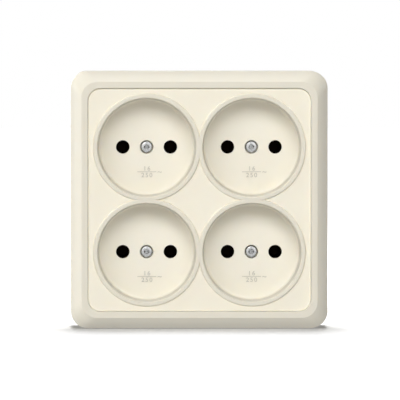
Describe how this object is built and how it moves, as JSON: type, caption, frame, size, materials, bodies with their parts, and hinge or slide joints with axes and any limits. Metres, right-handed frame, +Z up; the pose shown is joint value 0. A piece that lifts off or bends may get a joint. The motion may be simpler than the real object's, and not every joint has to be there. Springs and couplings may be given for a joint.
{
  "type": "surface mount quad socket",
  "caption": "Square surface-mounted socket outlet with round dished wells for two-pin plugs in a bevelled ivory frame, with contacts, bus bars and a screw-on base inside.",
  "frame": {"origin": "centre of the back, in the plane of the wall", "axes": "+Y into the wall, so the front faces -Y; +Z up the wall; +X to the right seen from the front"},
  "size_m": [0.1024, 0.037, 0.1024],
  "materials": {
    "ivory_plastic": "satin",
    "dark_thermoset": "matte",
    "brass_strip": "rolled",
    "contact_bronze": "rolled",
    "zinc_steel": "zinc plated"
  },
  "bodies": {
    "root": {"surround_frame": "ivory_plastic", "socket_plate": "ivory_plastic", "well_cup_1": "ivory_plastic", "well_cup_2": "ivory_plastic", "well_cup_3": "ivory_plastic", "well_cup_4": "ivory_plastic", "mounting_base": "dark_thermoset", "line_bus_bar": "brass_strip", "neutral_bus_bar": "brass_strip", "contact_clip_1": "contact_bronze", "contact_clip_2": "contact_bronze", "contact_clip_3": "contact_bronze", "contact_clip_4": "contact_bronze", "contact_clip_5": "contact_bronze", "contact_clip_6": "contact_bronze", "contact_clip_7": "contact_bronze", "contact_clip_8": "contact_bronze", "clip_rivet_1": "zinc_steel", "clip_rivet_2": "zinc_steel", "clip_rivet_3": "zinc_steel", "clip_rivet_4": "zinc_steel", "clip_rivet_5": "zinc_steel", "clip_rivet_6": "zinc_steel", "clip_rivet_7": "zinc_steel", "clip_rivet_8": "zinc_steel", "clamp_plate_line": "zinc_steel", "clamp_plate_neutral": "zinc_steel", "terminal_screw_line": "zinc_steel", "terminal_screw_neutral": "zinc_steel", "cover_screw_1": "zinc_steel", "cover_screw_2": "zinc_steel", "cover_screw_3": "zinc_steel", "cover_screw_4": "zinc_steel", "cover_nut_1": "zinc_steel", "cover_nut_2": "zinc_steel", "cover_nut_3": "zinc_steel", "cover_nut_4": "zinc_steel"}
  },
  "joints": []
}
